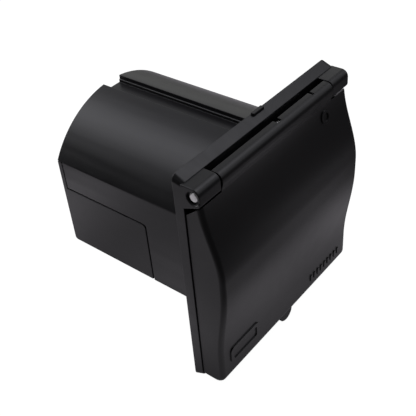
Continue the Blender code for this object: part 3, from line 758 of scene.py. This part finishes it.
def lid_hollow():
    """Inside of the lid, less the rib that backs the seal."""
    outline = lid_outline(LID_SKIN, 40.8) + [(-9.6, 40.6), (-4.0, 37.4), (-1.0, 37.0)]
    half, head_half = LID_HALF - LID_SKIN, BARREL_HALF - 2.0
    hollow = prism("lid_hollow", outline, "X", -half, half)
    join(hollow, prism("lid_head_room", HEAD_ROOM, "X", -head_half, head_half))
    cut(hollow, prism("seal_rib", SEAL_LOOPS, "Y", -40.0, LID_REAR - 2.3))
    return hollow


def build_lid():
    lid = outer_lid()
    add_hinge_barrel(lid)
    join(lid, finger_tab())
    join(lid, relief_marks())
    cut(lid, lid_hollow())
    cut(lid, rod("lid_pin_bore", PIN_BORE, "X", HINGE, -60.0, 60.0))
    place(lid, "lid", "lid", BLACK_LID)
    seal = prism("lid_seal_ring", SEAL_LOOPS, "Y", LID_REAR - 2.0, LID_REAR, edge=0.5, segments=3)
    place(seal, "lid_seal", "lid", RUBBER)


build_lid()


# ===========================================================================
# Hinge pin and spring
# ===========================================================================
def build_pin():
    pin = turned("hinge_pin_rod", [
        (0, 51.0), (1.7, 51.0), (PIN_R, 50.6), (PIN_R, -52.1), (1.75, -52.5), (0, -52.6)],
        "X", HINGE)
    place(pin, "hinge_pin", "box", STEEL)


def build_spring(turns=26, per_turn=24):
    """Torsion spring round the pin, with a short leg at each end."""
    name = "torsion_spring_coil"
    total = 2 * math.pi * turns + math.radians(190)
    path = [(COIL_X0, HINGE_Y - COIL_R, HINGE_Z - 0.6)]
    count = int(per_turn * total / (2 * math.pi))
    for i in range(count + 1):
        t = i / count
        angle = math.pi - total * t
        path.append((COIL_X0 + (COIL_X1 - COIL_X0) * t,
                     HINGE_Y + COIL_R * math.cos(angle), HINGE_Z + COIL_R * math.sin(angle)))
    path.append((COIL_X1, -5.35, HINGE_Z - 2.1))
    curve = poly_curve(name, "3D", [path])
    curve.bevel_depth = WIRE_R * MM
    curve.bevel_resolution = 2
    curve.use_fill_caps = True
    mesh = consume(add(name + "_path", curve))
    with editing(mesh) as shape:
        bmesh.ops.remove_doubles(shape, verts=shape.verts, dist=1e-6)
        bmesh.ops.recalc_face_normals(shape, faces=shape.faces)
    spring = add(name, mesh)
    bake(spring, SPRING_STEEL)
    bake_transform(spring)
    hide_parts("torsion_spring")


build_pin()
build_spring()

# ===========================================================================
# Rear cover, cable grommet and clamp bar
# ===========================================================================
TRAY_REAR_R, TRAY_FRONT_R = 1.6, 1.5
# Counterbored screw hole: radius, y
COVER_HOLE = [(0, 90), (3.6, 90), (3.6, BOX_DEPTH), (3.3, 83.6), (3.3, COVER_SCREW_SEAT),
              (1.9, COVER_SCREW_SEAT), (1.9, 70), (0, 70)]
# Ring section with a groove for the cover's rear wall: radius, y
GROMMET = [(9.4, 85.4), (9.6, 85.2), (9.6, 84.2), (7.2, 84.2), (7.2, 81.0), (9.6, 81.0),
           (9.6, 79.6), (9.0, 79.0), (CABLE_R, 79.0), (CABLE_R, 85.4)]


def build_cover():
    tray = [(COVER_FRONT, BOX_BOTTOM)]
    tray += arc((BOX_DEPTH - TRAY_REAR_R, BOX_BOTTOM + TRAY_REAR_R), TRAY_REAR_R,
                range(-90, 1, 15))
    tray += [(BOX_DEPTH, PLATE_TOP), (PLATE_Y0, PLATE_TOP), (PLATE_Y0, COVER_TOP)]
    tray += arc((COVER_FRONT + TRAY_FRONT_R, COVER_TOP - TRAY_FRONT_R), TRAY_FRONT_R,
                range(90, 181, 15))
    cover = prism("rear_cover_shell", tray, "X", -BOX_HALF, BOX_HALF, edge=0.3)
    half, base = BOX_HALF - WALL, BOX_BOTTOM + 1.0
    cut(cover, box("tray_room", (-half, 0, BOX_BOTTOM + WALL), (half, PLATE_Y0, 60), edge=0.5))
    for tag, side in SIDES:
        post = (side * CLAMP_X, CLAMP_Y, 0)
        cut(cover, turned("cover_screw_hole_" + tag, COVER_HOLE, "Y",
                          (side * COVER_SCREW_X, 0, COVER_SCREW_Z), 48))
        join(cover, rod("clamp_post_" + tag, 3.6, "Z", post, base, CLAMP_Z - GAP, edge=0.3))
        cut(cover, rod("clamp_post_bore_" + tag, 1.7, "Z", post, -16.0, 0.0, 32))
    join(cover, box("cable_saddle", (-7, CLAMP_Y - 2.5, base),
                    (7, CLAMP_Y + 2.5, CABLE_Z - CABLE_R - GAP), edge=0.6))
    cut(cover, rod("grommet_hole", 7.5, "Y", (0, 0, CABLE_Z), 70, 100, 56))
    place(cover, "rear_cover", "box", BLACK_COVER)


def build_grommet():
    grommet = turned("cable_grommet_ring", GROMMET, "Y", (0, 0, CABLE_Z), 72, closed=True,
                     edge=0.35)
    place(grommet, "cable_grommet", "box", RUBBER)


def build_clamp_bar():
    """Bar across the cable, with a shallow arch in its underside."""
    angles = [math.radians(a) for a in range(-90, 91, 15)]
    outline = [(-17, CLAMP_Z)]
    outline += [(5.4 * math.sin(a), CLAMP_Z + 1.3 * math.cos(a)) for a in angles]
    outline += [(17, CLAMP_Z), (17, -0.8), (16.2, 0), (-16.2, 0), (-17, -0.8)]
    bar = prism("clamp_bar_piece", outline, "Y", CLAMP_Y - 3.0, CLAMP_Y + 3.0, edge=0.35)
    for _, side in SIDES:
        cut(bar, rod("clamp_bar_hole_%d" % side, 1.75, "Z", (side * CLAMP_X, CLAMP_Y, 0),
                     -10, 5, 32))
    place(bar, "clamp_bar", "box", INSERT)


def screw(name, axis, centre, seat, head_r, head_t, shank_r, tip, facing):
    """Pan-head screw with a cross recess and ring threads.

    `seat` and `tip` are distances along the axis; `facing` is the head's direction.
    """
    face = seat + facing * head_t
    profile = [(0, face), (head_r * 0.55, face - facing * 0.08 * head_t),
               (head_r * 0.85, face - facing * head_t * 0.24),
               (head_r, face - facing * head_t * 0.6), (head_r, seat), (shank_r * 0.86, seat)]
    pitch = 0.62
    for i in range(max(2, int((abs(tip - seat) - 1.2) / pitch))):
        root = seat - facing * (0.4 + i * pitch)
        profile += [(shank_r * 0.84, root), (shank_r, root - facing * pitch * 0.5)]
    profile += [(shank_r * 0.84, tip + facing * 0.6), (shank_r * 0.45, tip), (0, tip)]
    if facing < 0:
        profile.reverse()
    obj = turned(name + "_fine", profile, axis, centre, 40)
    along = "XYZ".index(axis)
    for number in range(2):
        thin = (along + 1 + number) % 3
        wide = 3 - along - thin
        low, high = list(centre), list(centre)
        low[along], high[along] = sorted((face - facing * head_t * 0.55, face + facing * 1.0))
        for index, half in ((thin, 0.28), (wide, head_r * 0.55)):
            low[index], high[index] = centre[index] - half, centre[index] + half
        cut(obj, box("%s_recess_%d" % (name, number), low, high))
    place(obj, name, "box", STEEL)


build_cover()
build_grommet()
build_clamp_bar()
for number, (_, side) in enumerate(SIDES, 1):
    screw("clamp_screw_%d" % number, "Z", (side * CLAMP_X, CLAMP_Y, 0), seat=GAP,
          head_r=3.0, head_t=2.2, shank_r=1.4, tip=-13.0, facing=1)
    screw("cover_screw_%d" % number, "Y", (side * COVER_SCREW_X, 0, COVER_SCREW_Z),
          seat=COVER_SCREW_SEAT + GAP, head_r=3.0, head_t=1.1, shank_r=1.6, tip=69.0, facing=1)


# ===========================================================================
# Contact carrier, gasket, contacts
# ===========================================================================
def build_carrier():
    back = CARRIER_BACK - 1.0
    carrier = turned("contact_carrier_body", [
        (0, BOSS_BACK), (BOSS_R, BOSS_BACK), (BOSS_R, back), (COLLAR_OUT, back),
        (COLLAR_OUT, COLLAR_FRONT), (COLLAR_IN, COLLAR_FRONT), (COLLAR_IN, BASE_FRONT),
        (0, BASE_FRONT)], "Y", (0, 0, CORE_Z), 96, edge=0.6)
    join(carrier, prism("carrier_plate", CARRIER_PLATE, "Y", PLATE_FRONT, CARRIER_BACK,
                        edge=0.35))
    cut(carrier, box("key_slot", (-2.4, -12.0, CORE_Z - 28.0), (2.4, 9.0, CORE_Z - 20.0)))
    for name, (x, z, pin_r) in CONTACTS.items():
        bore, mouth = pin_r + GAP, pin_r + GAP + 0.7
        cut(carrier, turned(name + "_hole", [
            (0, 60.0), (bore, 60.0), (bore, BASE_FRONT + 0.6), (mouth, BASE_FRONT - 0.1),
            (mouth, 0.0), (0, 0.0)], "Y", (x, 0, z), 40))
    for i, (x, z) in enumerate(CARRIER_SCREWS):
        cut(carrier, rod("carrier_screw_hole_%d" % i, SCREW_HOLE_R, "Y", (x, 0, z),
                         20.0, 40.0, 32))
        screw("carrier_screw_%d" % (i + 1), "Y", (x, 0, z), seat=PLATE_FRONT - GAP,
              head_r=3.2, head_t=2.3, shank_r=1.75, tip=35.0, facing=-1)
    place(carrier, "contact_carrier", "box", INSERT)


def build_gasket():
    loops = [CARRIER_PLATE, circle(0, CORE_Z, BULKHEAD_HOLE_R, 72)]
    loops += [circle(x, z, 2.2, 32) for x, z in CARRIER_SCREWS]
    gasket = prism("carrier_gasket_sheet", loops, "Y", CARRIER_BACK + GAP, BULKHEAD_Y - GAP,
                   edge=0.1)
    place(gasket, "carrier_gasket", "box", RUBBER)


def build_contact(name, x, z, pin_r):
    contact = turned(name + "_turned", [
        (0, BARREL_Y1), (BARREL_R, BARREL_Y1), (BARREL_R, BARREL_Y0), (pin_r, BARREL_Y0),
        (pin_r, TIP_Y + 1.8), (pin_r * 0.92, TIP_Y + 0.9), (pin_r * 0.72, TIP_Y + 0.25),
        (pin_r * 0.4, TIP_Y), (0, TIP_Y)], "Y", (x, 0, z), 56, edge=0.35)
    terminal = (x, TERMINAL_Y, z)
    cut(contact, rod(name + "_wire_bore", 1.9, "Y", (x, 0, z), 42.0, 60.0, 32))
    cut(contact, rod(name + "_screw_bore", 1.8, "Z", terminal, -8.0, 0.0, 32))
    place(contact, name, "box", CONTACT)
    screw(name.replace("_pin", "_terminal_screw"), "Z", terminal, seat=-BARREL_R - 0.4,
          head_r=2.4, head_t=1.8, shank_r=1.5, tip=-2.2, facing=-1)


build_carrier()
build_gasket()
for name, sizes in CONTACTS.items():
    build_contact(name, *sizes)

# ===========================================================================
# Stage: pale floor, soft studio light, camera
# ===========================================================================
FLOOR_Z = -58.2
COOL = (0.98, 0.98, 1.05)
# Soft lights in the sky: direction, full and zero angle in degrees, strength, tint
SKY = [
    ((0.15, 0.52, 0.84), 8, 34, 0.03, COOL),
    ((0.585, 0.52, 0.62), 8, 34, 0.25, COOL),
    ((0.83, 0.52, 0.10), 8, 34, 0.43, (1.02, 1.03, 0.98)),
    ((0.585, -0.12, 0.80), 8, 34, 0.09, COOL),
    ((0.585, -0.50, 0.64), 8, 34, 0.60, COOL),
    ((0.0, 1.0, 0.20), 8, 34, 3.76, (1.0, 1.0, 1.03)),
    ((-0.36, 0.52, 0.77), 4, 24, 0.51, COOL),
    ((-0.12, 0.52, 0.85), 4, 24, 1.47, COOL),
    ((0.45, -0.12, 0.88), 4, 24, 1.27, COOL),
]
# Even light from all round, in the same columns
AMBIENT = ((0, 0, 1), 178, 180, 0.055, (1.0, 1.0, 1.0))
# Pale cards on the floor, hidden from the camera: centre and spread in mm, strength
CARDS = [
    ((0, -35), (70, 18), 0.32), ((30, -75), (80, 25), 0.08),
    ((-75, 40), (20, 60), 0.50), ((-150, 60), (40, 90), 0.49),
    ((0, 60), (40, 50), 0.24), ((-60, 160), (80, 40), 0.87),
    ((90, 40), (40, 80), 0.66), ((140, -140), (60, 22), 0.55),
    ((-20, -60), (40, 15), 0.15), ((60, -55), (40, 15), 0.04),
    ((-60, -40), (20, 20), 0.10), ((450, 280), (250, 200), 0.53),
]
CARD_BASE = 0.065       # glow of the floor between the cards
FLOOR_WHITE = 1.12      # floor brightness seen by the camera
SHADOW_SHARE = 0.12     # part of the seen floor that takes real shadows
# Camera: angles in degrees, place and focal length in mm
AZIMUTH, ELEVATION, ROLL = -48.44, 38.49, -5.16
CAMERA_AT = (-209.2, -155.16, 214.93 + RAISE)
SENSOR_W, FOCAL = 36.0, 64.13538462


def card(nodes, position, centre, spread, strength):
    """Glow that fades smoothly away from the card's centre."""
    shift = nodes.vector_math("SUBTRACT", position, (centre[0] * MM, centre[1] * MM, 0))
    scale = nodes.vector_math("MULTIPLY", shift,
                              (1 / (spread[0] * MM), 1 / (spread[1] * MM), 0))
    square = nodes.vector_math("DOT_PRODUCT", scale, scale)
    fall = nodes.math("EXPONENT", nodes.math("MULTIPLY", square, -1.0))
    return nodes.math("MULTIPLY", fall, strength)


def paper():
    """Floor that looks plain white, keeps a faint shadow and reflects as soft cards."""
    nodes = Nodes("studio_floor_paper")
    speck = nodes.noise(scale=9.0, detail=4.0)
    tone = nodes.mix(nodes.remap(speck), (0.92, 0.92, 0.92), (0.95, 0.95, 0.95))
    nodes.shade("Base Color", tone)
    nodes.shade("Roughness", 0.95)
    nodes.shade("Specular IOR Level", 0.0)
    white = nodes.new("ShaderNodeEmission")
    white.inputs["Strength"].default_value = FLOOR_WHITE
    seen = nodes.mix_shader(SHADOW_SHARE, white.outputs[0], nodes.bsdf.outputs[0])
    position = nodes.new("ShaderNodeNewGeometry").outputs["Position"]
    total = CARD_BASE
    for item in CARDS:
        total = nodes.math("ADD", card(nodes, position, *item), total)
    glow = nodes.new("ShaderNodeEmission", name="cards")
    glow.inputs["Color"].default_value = (1.02, 0.98, 1.05, 1)
    nodes.link(total, glow.inputs["Strength"])
    path = nodes.new("ShaderNodeLightPath")
    both = nodes.mix_shader(path.outputs["Is Camera Ray"], glow.outputs[0], seen)
    nodes.link(both, nodes.out.inputs["Surface"])
    return nodes.mat


def build_floor():
    mesh = bpy.data.meshes.new("studio_floor")
    with editing(mesh) as shape:
        bmesh.ops.create_grid(shape, x_segments=8, y_segments=8, size=6.0)
    floor = add("studio_floor", mesh)
    floor.location = (0, 0, (FLOOR_Z + RAISE) * MM)
    floor.data.materials.append(paper())


def lobe(graph, direction, axis, inner, outer, strength, tint):
    """One soft light: full within `inner` degrees of its axis, none beyond `outer`."""
    dot = graph.vector_math("DOT_PRODUCT", direction, Vector(axis).normalized())
    ramp = graph.new("ShaderNodeMapRange", interpolation_type="SMOOTHSTEP")
    graph.link(dot, ramp.inputs["Value"])
    ramp.inputs["From Min"].default_value = math.cos(math.radians(outer))
    ramp.inputs["From Max"].default_value = math.cos(math.radians(inner))
    scale = graph.new("ShaderNodeVectorMath", operation="SCALE")
    scale.inputs[0].default_value = [channel * strength for channel in tint]
    graph.link(ramp.outputs[0], scale.inputs["Scale"])
    return scale.outputs[0]


def build_sky():
    """Soft lights for the pieces, plain white for the camera."""
    world = bpy.data.worlds.new("studio")
    scene.world = world
    world.use_nodes = True
    graph = Graph(world.node_tree)
    direction = graph.new("ShaderNodeTexCoord").outputs["Generated"]
    total = lobe(graph, direction, *AMBIENT)
    for item in SKY:
        plus = graph.new("ShaderNodeVectorMath", operation="ADD")
        graph.link(total, plus.inputs[0])
        graph.link(lobe(graph, direction, *item), plus.inputs[1])
        total = plus.outputs[0]
    light = graph.new("ShaderNodeBackground")
    graph.link(total, light.inputs["Color"])
    white = graph.new("ShaderNodeBackground")
    white.inputs["Color"].default_value = (1, 1, 1, 1)
    both = graph.new("ShaderNodeMixShader")
    path = graph.new("ShaderNodeLightPath")
    graph.link(path.outputs["Is Camera Ray"], both.inputs[0])
    graph.link(light.outputs[0], both.inputs[1])
    graph.link(white.outputs[0], both.inputs[2])
    graph.link(both.outputs[0], graph.new("ShaderNodeOutputWorld").inputs["Surface"])


def build_camera():
    azimuth, elevation, roll = (math.radians(a) for a in (AZIMUTH, ELEVATION, ROLL))
    backward = Vector((math.sin(azimuth) * math.cos(elevation),
                       -math.cos(azimuth) * math.cos(elevation), math.sin(elevation)))
    level_right = Vector((0, 0, 1)).cross(backward).normalized()
    level_up = backward.cross(level_right)
    right = level_right * math.cos(roll) + level_up * math.sin(roll)
    up = level_up * math.cos(roll) - level_right * math.sin(roll)
    lens = bpy.data.cameras.new("product_camera")
    lens.sensor_width = SENSOR_W
    lens.lens = FOCAL
    lens.clip_start = 0.01
    camera = add("product_camera", lens)
    pose = Matrix((right, up, backward)).transposed().to_4x4()
    pose.translation = [v * MM for v in CAMERA_AT]
    camera.matrix_world = pose
    scene.camera = camera


build_floor()
build_sky()
build_camera()
scene.view_settings.view_transform = "Standard"
